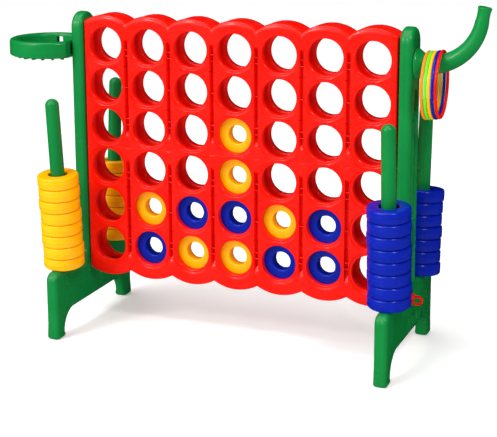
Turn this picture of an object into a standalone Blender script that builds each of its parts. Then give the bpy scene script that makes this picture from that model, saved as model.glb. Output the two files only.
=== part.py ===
"""Giant four in a row: a slotted board on two side frames, with a hoop and a ring toss arm.

Metres, +Z up, origin on the floor under the middle of the whole game. X runs along the
board, from the hoop to the toss arm, and Y runs from the players' front side to the back.
Pieces are placed from the centre of the board's grid, which an empty marks.
"""

import math

import bmesh
import bpy
from mathutils import Matrix, Vector
from mathutils.geometry import delaunay_2d_cdt

# Board grid
COLUMNS = 7
ROWS = 6
COLUMN_PITCH = 0.165
ROW_PITCH = 0.147
HOLE_RADIUS = 0.0625
HOLE_SEGMENTS = 12
GRID_HEIGHT = 0.672
FIT_GAP = 0.0003

# Modelling allowances: overlap of joined bodies and overshoot of cutting bodies
JOIN_OVERLAP = 0.004
CUT_OVERSHOOT = 0.010

# Board panels: a front and a back skin, each in an upper and a lower half
PANEL_THICKNESS = 0.028
DISC_SLOT = 0.046
TOP_VALLEY = 0.448
TOP_SCALLOP_RISE = 0.026
BOTTOM_VALLEY = -0.463
BOTTOM_SCALLOP_DROP = 0.0225
SCALLOP_STEPS = 5
RIB_WIDTH = 0.012
RIB_TOP_INSET = 0.008
RIB_END_GAP = 0.003
RIB_SIDE_INSET = 0.0005
TAB_LENGTH = 0.038
TAB_HEIGHT = 0.070
TAB_DEPTH = 0.0142
TAB_SLOT_HEIGHT = 0.072
TAB_SLOT_CENTRE = 0.235
TAB_CLEARANCE = 0.001

# Discs
DISC_RADIUS = 0.0733
DISC_BORE_RADIUS = 0.033
DISC_THICKNESS = 0.043
DISC_SEGMENTS = 12
DISC_PLAY = 0.0015
TOP_DISC_SHIFT = 0.0030

# Side frames
FRAME_INNER = 0.584
FRAME_THICKNESS = 0.046
BEAM_HALF_DEPTH = 0.055
BEAM_TOP = 1.150
FOOT_HALF_DEPTH = 0.291
FOOT_WIDTH = 0.057
ARCH_HEIGHT = 0.090
ARCH_CORNER = 0.070
SHOULDER_CORNER = 0.032
BEAM_FILLET = ((0.020, 0.0), (0.006, 0.007), (0.0, 0.024))
FRAME_CHAMFER = 0.006

# Posts
POST_SEAT_DEPTH = 0.188
POST_SEAT_HEIGHT = 0.252
POST_LEAN = math.radians(5.0)
POST_LENGTH = 0.620
POST_BASE_RADIUS = 0.0270
POST_TOP_RADIUS = 0.0242
PLUG_RADIUS = 0.0172
PLUG_LENGTH = 0.036
POST_TIP = ((1.0, 0.020), (0.86, 0.008), (0.5, 0.001))
SOCKET_CLEARANCE = 0.0004
POST_SEGMENTS = 12

# Release slider
SLIDER_HALF_DEPTH = 0.0330
SLIDER_THICKNESS = 0.008
SLIDER_WEB = 0.010
SLIDER_RAIL = 0.0100
GROOVE_CLEARANCE = 0.0006
GROOVE_START = 3.1 * COLUMN_PITCH
GUIDE_CLEARANCE = 0.001
GUIDE_OVERHANG = 0.009
PULL_OFFSET = 0.003
PULL_REACH = 0.672
PULL_HEIGHT = 0.034
PULL_CENTRE = -0.459
PULL_WALL = 0.008
PULL_HALF_DEPTH = 0.006
HANGER_MARGIN = 0.002

# Hoop
HOOP_CENTRE = -0.744
HOOP_RADIUS = 0.147
HOOP_WALL = 0.035
HOOP_BOTTOM = 0.317
HOOP_TOP = 0.376
HOOP_SEGMENTS = 28
HOOP_CHAMFER = 0.008
HOOP_PLUG_LENGTH = 0.038
HOOP_PLUG_ROOT = 0.010
HOOP_SLOT_TURN = math.radians(102.0)
HOOP_SLOT_LENGTH = 0.024
HOOP_SLOT_LOW = 0.337
HOOP_SLOT_HIGH = 0.364

# Ring toss arm
ARM_HEIGHT = 0.356
ARM_BEND_START = 0.672
ARM_BEND_RADIUS = 0.172
ARM_SWEEP = math.radians(80.0)
ARM_TIP_RUN = 0.054
ARM_ROOT_RADIUS = 0.0325
ARM_TIP_RADIUS = 0.0210
ARM_LIP_RADIUS = 0.0230
ARM_FLANGE_RADIUS = 0.0535
ARM_FLANGE_THICKNESS = 0.007
ARM_CONE_END = 0.033
ARM_CONE_MARGIN = 0.001
ARM_LIP_LENGTH = 0.014
ARM_PLUG_LENGTH = 0.038
ARM_SOCKET_LENGTH = 0.040
ARM_SEGMENTS = 12
ARM_BEND_STEPS = 9

# Toss rings
TOSS_RING_RADIUS = 0.109
TOSS_TUBE_RADIUS = 0.0055
TOSS_SEGMENTS = 20
TOSS_TUBE_SEGMENTS = 5
TOSS_FIRST = 0.6690
TOSS_SPACING = 0.0117
TOSS_YAW = math.radians(3.4)
TOSS_GAP = 0.0022

# Worked out from the sizes above
BOARD_HALF_WIDTH = COLUMNS * COLUMN_PITCH / 2
FRAME_OUTER = FRAME_INNER + FRAME_THICKNESS
SLOT_HALF = DISC_SLOT / 2
BOARD_FRONT = -(SLOT_HALF + PANEL_THICKNESS)
POST_X = FRAME_INNER + FRAME_THICKNESS / 2
SLIDER_TOP = -(ROWS * ROW_PITCH / 2) - FIT_GAP
SLIDER_BOTTOM = SLIDER_TOP - SLIDER_THICKNESS
HOOP_REACH = -HOOP_CENTRE + HOOP_RADIUS
ARM_REACH = (ARM_BEND_START + ARM_BEND_RADIUS * math.sin(ARM_SWEEP)
             + ARM_TIP_RUN * math.cos(ARM_SWEEP) + ARM_LIP_RADIUS * math.sin(ARM_SWEEP))
GRID_X = (HOOP_REACH - ARM_REACH) / 2

# Colours: linear red, green, blue; then roughness
PLASTICS = {
    "red": ((0.76, 0.012, 0.004), 0.32),
    "green": ((0.010, 0.28, 0.060), 0.34),
    "yellow": ((0.95, 0.56, 0.006), 0.34),
    "blue": ((0.010, 0.025, 0.46), 0.34),
    "orange": ((0.90, 0.24, 0.010), 0.36),
    "lime": ((0.14, 0.75, 0.030), 0.36),
}

# Discs in play: row from the top, column from the left
PLAYED = (
    ("yellow", ((2, 3), (3, 3), (4, 1), (4, 4), (5, 2), (5, 3))),
    ("blue", ((4, 2), (4, 3), (4, 5), (5, 1), (5, 4), (5, 5))),
)
FRONT_STACK = 8
BACK_STACK = 7
TOSS_COLOURS = ("orange", "lime", "yellow", "blue", "red")


def clear_scene():
    for old in list(bpy.data.objects):
        bpy.data.objects.remove(old, do_unlink=True)


def plastic(name):
    """One moulded plastic, made once and shared by every piece of its colour."""
    material = bpy.data.materials.get(name + "_plastic")
    if material is None:
        colour, roughness = PLASTICS[name]
        material = bpy.data.materials.new(name + "_plastic")
        material.use_nodes = True
        shader = material.node_tree.nodes["Principled BSDF"]
        shader.inputs["Base Color"].default_value = (*colour, 1.0)
        shader.inputs["Roughness"].default_value = roughness
        shader.inputs["Metallic"].default_value = 0.0
    return material


def finish_mesh(name, bm):
    """Turn faces outward, write the bmesh to a mesh and shade it smooth up to 35 degrees."""
    bmesh.ops.recalc_face_normals(bm, faces=bm.faces)
    mesh = bpy.data.meshes.new(name)
    bm.to_mesh(mesh)
    bm.free()
    mesh.shade_smooth()
    mesh.set_sharp_from_angle(angle=math.radians(35))
    return mesh


def add_piece(name, mesh, colour, parent, location=(0, 0, 0), rotation=(0, 0, 0)):
    piece = bpy.data.objects.new(name, mesh)
    bpy.context.collection.objects.link(piece)
    if not mesh.materials:
        mesh.materials.append(plastic(colour))
    piece.parent = parent
    piece.location = location
    piece.rotation_euler = rotation
    return piece


def add_box(bm, low, high):
    size = [b - a for a, b in zip(low, high)]
    middle = [(a + b) / 2 for a, b in zip(low, high)]
    matrix = Matrix.Translation(middle) @ Matrix.Diagonal((*size, 1.0))
    bmesh.ops.create_cube(bm, size=1.0, matrix=matrix)


def box_mesh(low, high):
    bm = bmesh.new()
    add_box(bm, low, high)
    return finish_mesh("cutter", bm)


def combine(piece, operation, mesh):
    """Join or cut the piece with a mesh in the piece's own frame, and apply it at once."""
    tool = bpy.data.objects.new("tool", mesh)
    bpy.context.collection.objects.link(tool)
    tool.hide_render = True
    tool.display_type = "WIRE"
    tool.matrix_world = piece.matrix_basis
    tool.parent = piece.parent
    modifier = piece.modifiers.new("combine", "BOOLEAN")
    modifier.operation = operation
    modifier.solver = "EXACT"
    modifier.object = tool
    graph = bpy.context.evaluated_depsgraph_get()
    result = bpy.data.meshes.new_from_object(piece.evaluated_get(graph))
    result.name = piece.data.name
    piece.modifiers.clear()
    piece.data = result
    bpy.data.objects.remove(tool, do_unlink=True)


def ring_of(radius, height, segments):
    return [(radius * math.cos(2 * math.pi * k / segments),
             radius * math.sin(2 * math.pi * k / segments), height) for k in range(segments)]


def loft(bm, loops, close=False):
    """Skin a row of loops with quads. A loop of one point is a pole."""
    rows = [[bm.verts.new(point) for point in loop] for loop in loops]
    pairs = list(zip(rows, rows[1:]))
    if close:
        pairs.append((rows[-1], rows[0]))
    for a, b in pairs:
        count = max(len(a), len(b))
        for k in range(count):
            n = (k + 1) % count
            corners = [a[k % len(a)], a[n % len(a)], b[n % len(b)], b[k % len(b)]]
            bm.faces.new(list(dict.fromkeys(corners)))
    return rows


def turned(profile, segments, close=False):
    """A solid of revolution about Z from (radius, height) points."""
    bm = bmesh.new()
    loops = [ring_of(r, z, segments) if r > 0 else [(0, 0, z)] for r, z in profile]
    loft(bm, loops, close)
    return bm


def arc(centre, radius, start, end, steps):
    """Points on an arc in a plane, both ends included, angles in degrees."""
    points = []
    for k in range(steps + 1):
        angle = math.radians(start + (end - start) * k / steps)
        points.append((centre[0] + radius * math.cos(angle),
                       centre[1] + radius * math.sin(angle)))
    return points


def scallops(valley, rise):
    """The wavy edge from the left end to the right end, one arc for each column."""
    half = COLUMN_PITCH / 2
    radius = (half * half + rise * rise) / (2 * abs(rise))
    points = []
    for column in range(COLUMNS):
        middle = (column - (COLUMNS - 1) / 2) * COLUMN_PITCH
        for k in range(SCALLOP_STEPS):
            x = -half + COLUMN_PITCH * k / SCALLOP_STEPS
            lift = math.sqrt(radius * radius - x * x) - (radius - abs(rise))
            points.append((middle + x, valley + math.copysign(lift, rise)))
    points.append((BOARD_HALF_WIDTH, valley))
    return points


def column_x(column):
    return (column - (COLUMNS - 1) / 2) * COLUMN_PITCH


def row_z(row):
    return ((ROWS - 1) / 2 - row) * ROW_PITCH


def rectangle(x_low, x_high, z_low, z_high):
    return [(x_low, z_low), (x_high, z_low), (x_high, z_high), (x_low, z_high)]


def cap(bm, loops, rows):
    """Fill one flat face whose first loop is its outline and the others are its holes.

    Holes are convex, so a triangle with all its corners on one hole lies inside it.
    """
    points = [Vector(point) for loop in loops for point in loop]
    verts = [vert for row in rows for vert in row]
    owner = [number for number, loop in enumerate(loops) for point in loop]
    edges = []
    first = 0
    for loop in loops:
        count = len(loop)
        edges += [(first + k, first + (k + 1) % count) for k in range(count)]
        first += count
    filled = delaunay_2d_cdt(points, edges, [], 1, 1e-7)
    triangles, sources = filled[2], filled[3]
    for triangle in triangles:
        corners = [sources[k][0] for k in triangle]
        owners = {owner[k] for k in corners}
        if len(owners) > 1 or owners == {0}:
            bm.faces.new([verts[k] for k in corners])


def panel_bmesh(upper, side):
    """Half a board skin: scalloped outline, three rows of holes and the column ribs.

    side is -1 for the front skin and 1 for the back one.
    """
    seam = FIT_GAP if upper else -FIT_GAP
    edge = scallops(TOP_VALLEY, TOP_SCALLOP_RISE) if upper \
        else scallops(BOTTOM_VALLEY, -BOTTOM_SCALLOP_DROP)
    outline = edge + [(BOARD_HALF_WIDTH, seam), (-BOARD_HALF_WIDTH, seam)]
    rows = range(0, ROWS // 2) if upper else range(ROWS // 2, ROWS)
    holes = []
    for row in rows:
        for column in range(COLUMNS):
            centre = (column_x(column), row_z(row))
            hole = arc(centre, HOLE_RADIUS, 0, 360, HOLE_SEGMENTS)
            holes.append(hole[:-1])
    rib_near = RIB_END_GAP if upper else -RIB_END_GAP
    rib_far = TOP_VALLEY - RIB_TOP_INSET if upper else SLIDER_TOP + RIB_END_GAP
    low, high = sorted((rib_near, rib_far))
    ribs = []
    for line in range(COLUMNS + 1):
        x = (line - COLUMNS / 2) * COLUMN_PITCH
        x_low = max(x - RIB_WIDTH / 2, -BOARD_HALF_WIDTH + RIB_SIDE_INSET)
        x_high = min(x + RIB_WIDTH / 2, BOARD_HALF_WIDTH - RIB_SIDE_INSET)
        ribs.append(rectangle(x_low, x_high, low, high))

    outer_y = side * (SLOT_HALF + PANEL_THICKNESS)
    inner_y = side * SLOT_HALF
    rib_y = side * FIT_GAP
    bm = bmesh.new()
    outer_rows = []
    inner_rows = []
    for loop in [outline] + holes:
        outer_row, inner_row = loft(bm, [[(x, outer_y, z) for x, z in loop],
                                         [(x, inner_y, z) for x, z in loop]])
        outer_rows.append(outer_row)
        inner_rows.append(inner_row)
    for rib in ribs:
        foot, crest = loft(bm, [[(x, inner_y, z) for x, z in rib],
                                [(x, rib_y, z) for x, z in rib]])
        inner_rows.append(foot)
        bm.faces.new(crest)
    cap(bm, [outline] + holes, outer_rows)
    cap(bm, [outline] + holes + ribs, inner_rows)
    return bm


def add_panels(parent):
    """Four half skins, with the tabs that lock into the frames and the slider's groove."""
    groove_low = SLIDER_BOTTOM - GROOVE_CLEARANCE
    groove_high = SLIDER_TOP + GROOVE_CLEARANCE
    for side, face in ((-1, "front"), (1, "back")):
        for upper, level in ((True, "upper"), (False, "lower")):
            name = f"{face}_{level}_panel"
            mesh = finish_mesh(name, panel_bmesh(upper, side))
            panel = add_piece(name, mesh, "red", parent)
            slot = TAB_SLOT_CENTRE if upper else -TAB_SLOT_CENTRE
            z_low = slot - TAB_SLOT_HEIGHT / 2 + TAB_CLEARANCE
            y_low, y_high = sorted((side * FIT_GAP * 2, side * TAB_DEPTH))
            for end in (-1, 1):
                x_low, x_high = sorted((end * (BOARD_HALF_WIDTH - JOIN_OVERLAP),
                                        end * (BOARD_HALF_WIDTH + TAB_LENGTH)))
                combine(panel, "UNION", box_mesh((x_low, y_low, z_low),
                                                 (x_high, y_high, z_low + TAB_HEIGHT)))
            if not upper:
                reach = SLIDER_HALF_DEPTH + GROOVE_CLEARANCE
                y_low, y_high = sorted((side * (SLOT_HALF - CUT_OVERSHOOT), side * reach))
                combine(panel, "DIFFERENCE",
                        box_mesh((-GROOVE_START, y_low, groove_low),
                                 (BOARD_HALF_WIDTH + CUT_OVERSHOOT, y_high, groove_high)))


def disc_mesh(name):
    half = DISC_THICKNESS / 2
    profile = ((DISC_BORE_RADIUS, -half), (DISC_RADIUS, -half),
               (DISC_RADIUS, half), (DISC_BORE_RADIUS, half))
    return finish_mesh(name, turned(profile, DISC_SEGMENTS, close=True))


def post_point(end, side, along):
    """A point on a post's axis, measured from its seat. side is -1 front, 1 back."""
    y = side * (POST_SEAT_DEPTH + along * math.sin(POST_LEAN))
    z = POST_SEAT_HEIGHT - GRID_HEIGHT + along * math.cos(POST_LEAN)
    return Vector((end * POST_X, y, z))


def add_played_discs(parent, meshes):
    for colour, cells in PLAYED:
        for number, (row, column) in enumerate(sorted(cells, reverse=True), start=1):
            add_piece(f"{colour}_disc_board_{number}", meshes[colour], colour, parent,
                      (column_x(column), 0, row_z(row)), (math.pi / 2, 0, 0))


def add_stacked_discs(parent, meshes):
    """Spare discs on the posts, each a little off centre within the play of its bore."""
    for colour, end in (("yellow", -1), ("blue", 1)):
        for place, side, count in (("front", -1, FRONT_STACK), ("back", 1, BACK_STACK)):
            for level in range(count):
                along = (level + 0.5) * DISC_THICKNESS + (level + 1) * FIT_GAP
                spot = post_point(end, side, along)
                spot.x += DISC_PLAY * math.sin(2.4 * level + side)
                spot.y += DISC_PLAY * 0.4 * math.cos(1.7 * level)
                if level == BACK_STACK - 1 and place == "back":
                    spot.x += end * TOP_DISC_SHIFT
                add_piece(f"{colour}_disc_{place}_{level + 1}", meshes[colour], colour,
                          parent, spot, (-side * POST_LEAN, 0, 0))


def add_posts(parent):
    """Round tapered posts, plugged into sockets in the frames' shoulders."""
    profile = ((0, -PLUG_LENGTH), (PLUG_RADIUS, -PLUG_LENGTH), (PLUG_RADIUS, 0),
               (POST_BASE_RADIUS, 0),
               *((POST_TOP_RADIUS * share, POST_LENGTH - down) for share, down in POST_TIP),
               (0, POST_LENGTH))
    mesh = finish_mesh("post", turned(profile, POST_SEGMENTS))
    for end, hand in ((-1, "left"), (1, "right")):
        for side, place in ((-1, "front"), (1, "back")):
            spot = post_point(end, side, FIT_GAP)
            add_piece(f"{hand}_{place}_post", mesh, "green", parent, spot,
                      (-side * POST_LEAN, 0, 0))


def frame_outline():
    """Side view of a frame as (y, z above the floor), front half first."""
    lean = math.tan(POST_LEAN)
    corner_z = POST_SEAT_HEIGHT - (FOOT_HALF_DEPTH - SHOULDER_CORNER - POST_SEAT_DEPTH) * lean
    root_z = POST_SEAT_HEIGHT + (POST_SEAT_DEPTH - BEAM_HALF_DEPTH - BEAM_FILLET[0][0]) * lean
    inner = FOOT_HALF_DEPTH - FOOT_WIDTH
    half = [(-inner, 0.0), (-FOOT_HALF_DEPTH, 0.0)]
    half += arc((-FOOT_HALF_DEPTH + SHOULDER_CORNER, corner_z - SHOULDER_CORNER),
                SHOULDER_CORNER, 180, 95, 4)
    half += [(-BEAM_HALF_DEPTH - out, root_z + up) for out, up in BEAM_FILLET]
    top = arc((0, BEAM_TOP - BEAM_HALF_DEPTH), BEAM_HALF_DEPTH, 180, 0, 10)
    back = [(-y, z) for y, z in reversed(half)]
    arch = arc((inner - ARCH_CORNER, ARCH_HEIGHT - ARCH_CORNER), ARCH_CORNER, 0, 90, 5)
    arch += [(-y, z) for y, z in reversed(arch)]
    return half + top + back + arch


def socket_bmesh(radius, depth):
    """A cutter for a round socket that opens upward at the origin."""
    return turned(((0, -depth), (radius, -depth), (radius, CUT_OVERSHOOT), (0, CUT_OVERSHOOT)),
                  POST_SEGMENTS)


def add_frames(parent):
    """Two moulded side frames, each with tab slots, post sockets and a plug hole."""
    bottom = -GRID_HEIGHT
    outline = [(y, z + bottom) for y, z in frame_outline()]
    socket = PLUG_RADIUS + SOCKET_CLEARANCE
    for end, hand in ((-1, "left"), (1, "right")):
        bm = bmesh.new()
        rows = loft(bm, [[(end * FRAME_INNER, y, z) for y, z in outline],
                         [(end * FRAME_OUTER, y, z) for y, z in outline]])
        for row in rows:
            cap(bm, [outline], [row])
        name = f"{hand}_frame"
        frame = add_piece(name, finish_mesh(name, bm), "green", parent)
        chamfer_frame(frame)
        x_low, x_high = sorted((end * (FRAME_INNER - CUT_OVERSHOOT),
                                end * (FRAME_OUTER + CUT_OVERSHOOT)))
        slot_depth = TAB_DEPTH + TAB_CLEARANCE
        slot_half = TAB_SLOT_HEIGHT / 2
        for middle in (TAB_SLOT_CENTRE, -TAB_SLOT_CENTRE):
            combine(frame, "DIFFERENCE", box_mesh((x_low, -slot_depth, middle - slot_half),
                                                  (x_high, slot_depth, middle + slot_half)))
        for side in (-1, 1):
            hole = socket_bmesh(socket, PLUG_LENGTH + TAB_CLEARANCE)
            spot = post_point(end, side, 0)
            hole.transform(Matrix.Translation(spot)
                           @ Matrix.Rotation(-side * POST_LEAN, 4, "X"))
            combine(frame, "DIFFERENCE", finish_mesh("socket", hole))
        plug_hole = socket_bmesh(socket, ARM_SOCKET_LENGTH)
        height = ARM_HEIGHT if end > 0 else (HOOP_BOTTOM + HOOP_TOP) / 2
        plug_hole.transform(Matrix.Translation((end * FRAME_OUTER, 0, height))
                            @ Matrix.Rotation(end * math.pi / 2, 4, "Y"))
        combine(frame, "DIFFERENCE", finish_mesh("plug_hole", plug_hole))
        if end > 0:
            reach = SLIDER_HALF_DEPTH + GROOVE_CLEARANCE
            combine(frame, "DIFFERENCE",
                    box_mesh((x_low, -reach, SLIDER_BOTTOM - GROOVE_CLEARANCE),
                             (x_high, reach, SLIDER_TOP + GROOVE_CLEARANCE)))


def chamfer_frame(frame):
    """Soften the long outline edges of a frame with one chamfer, away from the soles."""
    bm = bmesh.new()
    bm.from_mesh(frame.data)
    flat = {face for face in bm.faces if abs(face.normal.x) > 0.9}
    edges = []
    for edge in bm.edges:
        flanks = [face in flat for face in edge.link_faces]
        above = min(vert.co.z for vert in edge.verts) > -GRID_HEIGHT + 0.001
        if flanks.count(True) == 1 and above:
            edges.append(edge)
    bmesh.ops.bevel(bm, geom=edges, offset=FRAME_CHAMFER, offset_type="OFFSET", segments=1,
                    profile=0.5, affect="EDGES", clamp_overlap=True)
    material = frame.data.materials[0]
    mesh = finish_mesh(frame.name, bm)
    mesh.materials.append(material)
    frame.data = mesh


def add_slider(parent):
    """Ladder strip under the columns. Its webs hold the discs up; a pull ring ends it."""
    first = column_x(0)
    last = column_x(COLUMNS - 1)
    web = SLIDER_WEB / 2
    bm = bmesh.new()
    tongue = SLOT_HALF - GUIDE_CLEARANCE
    far = FRAME_OUTER + GUIDE_OVERHANG
    outline = [(first - web, -SLIDER_HALF_DEPTH), (last + web, -SLIDER_HALF_DEPTH),
               (last + web, -tongue), (far, -tongue), (far, tongue), (last + web, tongue),
               (last + web, SLIDER_HALF_DEPTH), (first - web, SLIDER_HALF_DEPTH)]
    inside = SLIDER_HALF_DEPTH - SLIDER_RAIL
    windows = [rectangle(column_x(k) + web, column_x(k + 1) - web, -inside, inside)
               for k in range(COLUMNS - 1)]
    top_rows = []
    bottom_rows = []
    for loop in [outline] + windows:
        top, bottom = loft(bm, [[(x, y, SLIDER_TOP) for x, y in loop],
                                [(x, y, SLIDER_BOTTOM) for x, y in loop]])
        top_rows.append(top)
        bottom_rows.append(bottom)
    cap(bm, [outline] + windows, top_rows)
    cap(bm, [outline] + windows, bottom_rows)
    slider = add_piece("release_slider", finish_mesh("release_slider", bm), "red", parent)

    radius = PULL_HEIGHT / 2
    left = FRAME_OUTER + PULL_OFFSET
    right = PULL_REACH - radius
    ring = bmesh.new()
    loops = []
    for size in (radius, radius - PULL_WALL):
        start = left + (radius - size)
        loops.append([(start, PULL_CENTRE - size)]
                     + arc((right, PULL_CENTRE), size, -90, 90, 8)
                     + [(start, PULL_CENTRE + size)])
    rows = []
    for y in (-PULL_HALF_DEPTH, PULL_HALF_DEPTH):
        rows.append([[(x, y, z) for x, z in loop] for loop in loops])
    outer = loft(ring, [rows[0][0], rows[1][0]])
    inner = loft(ring, [rows[0][1], rows[1][1]])
    for k in range(2):
        cap(ring, loops, [outer[k], inner[k]])
    combine(slider, "UNION", finish_mesh("pull_ring", ring))
    hanger = PULL_HALF_DEPTH + HANGER_MARGIN
    combine(slider, "UNION", box_mesh((left, -hanger, PULL_CENTRE),
                                      (left + PULL_WALL, hanger, SLIDER_TOP - HANGER_MARGIN)))


def add_hoop(parent):
    """Round band with a flat bracket against the left frame, and a slot for a net hook."""
    inner = HOOP_RADIUS - HOOP_WALL
    profile = ((inner, HOOP_BOTTOM), (HOOP_RADIUS, HOOP_BOTTOM),
               (HOOP_RADIUS, HOOP_TOP - HOOP_CHAMFER), (HOOP_RADIUS - HOOP_CHAMFER, HOOP_TOP),
               (inner, HOOP_TOP))
    bm = turned(profile, HOOP_SEGMENTS, close=True)
    bmesh.ops.translate(bm, verts=bm.verts, vec=(HOOP_CENTRE, 0, 0))
    hoop = add_piece("hoop", finish_mesh("hoop", bm), "green", parent)
    face = -FRAME_OUTER - FIT_GAP
    combine(hoop, "DIFFERENCE",
            box_mesh((face, -HOOP_RADIUS, HOOP_BOTTOM - CUT_OVERSHOOT),
                     (face + HOOP_RADIUS, HOOP_RADIUS, HOOP_TOP + CUT_OVERSHOOT)))
    plug = turned(((0, -HOOP_PLUG_LENGTH), (PLUG_RADIUS, -HOOP_PLUG_LENGTH),
                   (PLUG_RADIUS, HOOP_PLUG_ROOT), (0, HOOP_PLUG_ROOT)), POST_SEGMENTS)
    plug.transform(Matrix.Translation((face, 0, (HOOP_BOTTOM + HOOP_TOP) / 2))
                   @ Matrix.Rotation(-math.pi / 2, 4, "Y"))
    combine(hoop, "UNION", finish_mesh("plug", plug))
    half = HOOP_SLOT_LENGTH / 2
    slot = box_mesh((inner / 2, -half, HOOP_SLOT_LOW),
                    (HOOP_RADIUS + CUT_OVERSHOOT, half, HOOP_SLOT_HIGH))
    slot.transform(Matrix.Translation((HOOP_CENTRE, 0, 0)) @ Matrix.Rotation(HOOP_SLOT_TURN, 4, "Z"))
    combine(hoop, "DIFFERENCE", slot)


def arm_radius(along):
    bend = ARM_BEND_RADIUS * ARM_SWEEP
    return ARM_ROOT_RADIUS + (ARM_TIP_RADIUS - ARM_ROOT_RADIUS) * along / (bend + ARM_TIP_RUN)


def arm_height(x):
    """Height of the arm's centreline at a place along X, and the slope there in radians."""
    across = max(0.0, x - ARM_BEND_START)
    slope = math.asin(across / ARM_BEND_RADIUS)
    return ARM_HEIGHT + ARM_BEND_RADIUS * (1 - math.cos(slope)), slope


def add_arm(parent):
    """Upturned arm: plug, flange cone, bend and a flared lip."""
    root = FRAME_OUTER + FIT_GAP
    sections = [((root - ARM_PLUG_LENGTH, ARM_HEIGHT), 0.0, PLUG_RADIUS),
                ((root, ARM_HEIGHT), 0.0, PLUG_RADIUS),
                ((root, ARM_HEIGHT), 0.0, ARM_FLANGE_RADIUS),
                ((root + ARM_FLANGE_THICKNESS, ARM_HEIGHT), 0.0, ARM_FLANGE_RADIUS),
                ((root + ARM_CONE_END, ARM_HEIGHT), 0.0, ARM_ROOT_RADIUS + ARM_CONE_MARGIN)]
    for k in range(ARM_BEND_STEPS + 1):
        slope = ARM_SWEEP * k / ARM_BEND_STEPS
        centre = (ARM_BEND_START + ARM_BEND_RADIUS * math.sin(slope),
                  ARM_HEIGHT + ARM_BEND_RADIUS * (1 - math.cos(slope)))
        sections.append((centre, slope, arm_radius(ARM_BEND_RADIUS * slope)))
    end = sections[-1][0]
    for run, radius in ((ARM_TIP_RUN - ARM_LIP_LENGTH, ARM_TIP_RADIUS),
                        (ARM_TIP_RUN, ARM_LIP_RADIUS)):
        sections.append(((end[0] + run * math.cos(ARM_SWEEP), end[1] + run * math.sin(ARM_SWEEP)),
                         ARM_SWEEP, radius))
    loops = []
    for (x, z), slope, radius in sections:
        upward = Vector((-math.sin(slope), 0, math.cos(slope)))
        loops.append([Vector((x, 0, z)) + upward * u + Vector((0, v, 0))
                      for u, v, _ in ring_of(radius, 0, ARM_SEGMENTS)])
    bm = bmesh.new()
    rows = loft(bm, loops)
    bm.faces.new(rows[0])
    bm.faces.new(rows[-1])
    add_piece("toss_arm", finish_mesh("toss_arm", bm), "green", parent)


def add_toss_rings(parent):
    """Five thin rings hanging side by side on the arm."""
    tube = arc((TOSS_RING_RADIUS, 0), TOSS_TUBE_RADIUS, 0, 360, TOSS_TUBE_SEGMENTS)
    bm = turned(tube[:-1], TOSS_SEGMENTS, close=True)
    bm.transform(Matrix.Rotation(math.pi / 2, 4, "Y"))
    shape = finish_mesh("toss_ring", bm)
    for number, colour in enumerate(TOSS_COLOURS):
        x = TOSS_FIRST + TOSS_SPACING * number
        height, slope = arm_height(x)
        thick = arm_radius(ARM_BEND_RADIUS * slope) + TOSS_TUBE_RADIUS + TOSS_GAP
        drop = TOSS_RING_RADIUS - thick / math.cos(slope)
        ring = add_piece(f"{colour}_toss_ring", shape.copy(), colour, parent,
                         (x, 0, height), (0, 0, TOSS_YAW))
        ring.data.transform(Matrix.Translation((0, 0, -drop)))


def main():
    clear_scene()
    grid = bpy.data.objects.new("grid_centre", None)
    bpy.context.collection.objects.link(grid)
    grid.location = (GRID_X, 0, GRID_HEIGHT)
    bpy.context.view_layer.update()
    discs = {colour: disc_mesh(f"{colour}_disc") for colour in ("yellow", "blue")}
    add_frames(grid)
    add_panels(grid)
    add_slider(grid)
    add_posts(grid)
    add_hoop(grid)
    add_arm(grid)
    add_played_discs(grid, discs)
    add_stacked_discs(grid, discs)
    add_toss_rings(grid)


main()
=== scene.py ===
"""Looks of the giant four in a row: moulded shells, plastics, floor, lights and camera."""

import math

import bmesh
import bpy
from mathutils import Matrix, Vector
from mathutils.geometry import delaunay_2d_cdt


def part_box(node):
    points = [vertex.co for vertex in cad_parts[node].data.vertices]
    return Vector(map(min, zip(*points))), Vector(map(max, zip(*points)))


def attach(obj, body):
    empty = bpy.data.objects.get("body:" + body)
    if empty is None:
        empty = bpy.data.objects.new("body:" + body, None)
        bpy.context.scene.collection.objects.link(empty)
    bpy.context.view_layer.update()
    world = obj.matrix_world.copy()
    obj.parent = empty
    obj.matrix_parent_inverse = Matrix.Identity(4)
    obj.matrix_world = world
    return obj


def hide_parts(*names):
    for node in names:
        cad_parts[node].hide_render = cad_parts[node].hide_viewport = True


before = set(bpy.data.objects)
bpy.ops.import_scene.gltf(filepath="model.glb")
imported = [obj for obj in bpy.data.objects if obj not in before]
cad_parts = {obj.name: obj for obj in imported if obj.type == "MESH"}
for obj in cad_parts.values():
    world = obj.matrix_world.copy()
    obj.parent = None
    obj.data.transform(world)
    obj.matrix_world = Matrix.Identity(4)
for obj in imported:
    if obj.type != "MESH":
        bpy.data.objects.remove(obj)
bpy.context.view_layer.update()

# Design sizes shared with the CAD model, metres
COLUMNS = 7
ROWS = 6
COLUMN_PITCH = 0.165
ROW_PITCH = 0.147
HOLE_RADIUS = 0.0625
FIT_GAP = 0.0003
SLOT_HALF = 0.023
SKIN_OUT = 0.051
TOP_VALLEY = 0.448
TOP_RISE = 0.026
BOTTOM_VALLEY = -0.463
BOTTOM_DROP = 0.0225
RIB_WIDTH = 0.012
TAB_SLOT_CENTRE = 0.235
TAB_SLOT_HALF = 0.036
TAB_LOW = TAB_SLOT_CENTRE - TAB_SLOT_HALF + 0.001
TAB_HEIGHT = 0.070
TAB_LENGTH = 0.038
POST_LEAN = math.radians(5.0)
POST_SEAT_DEPTH = 0.188
POST_SEAT_HEIGHT = 0.252
POST_LENGTH = 0.620
SLIDER_TOP = -0.4413
SLIDER_BOTTOM = -0.4493
HOOP_SLOT_TURN = math.radians(102.0)
ARM_SWEEP = math.radians(80.0)
ARM_BEND_RADIUS = 0.172
TOSS_YAW = math.radians(3.4)

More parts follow.
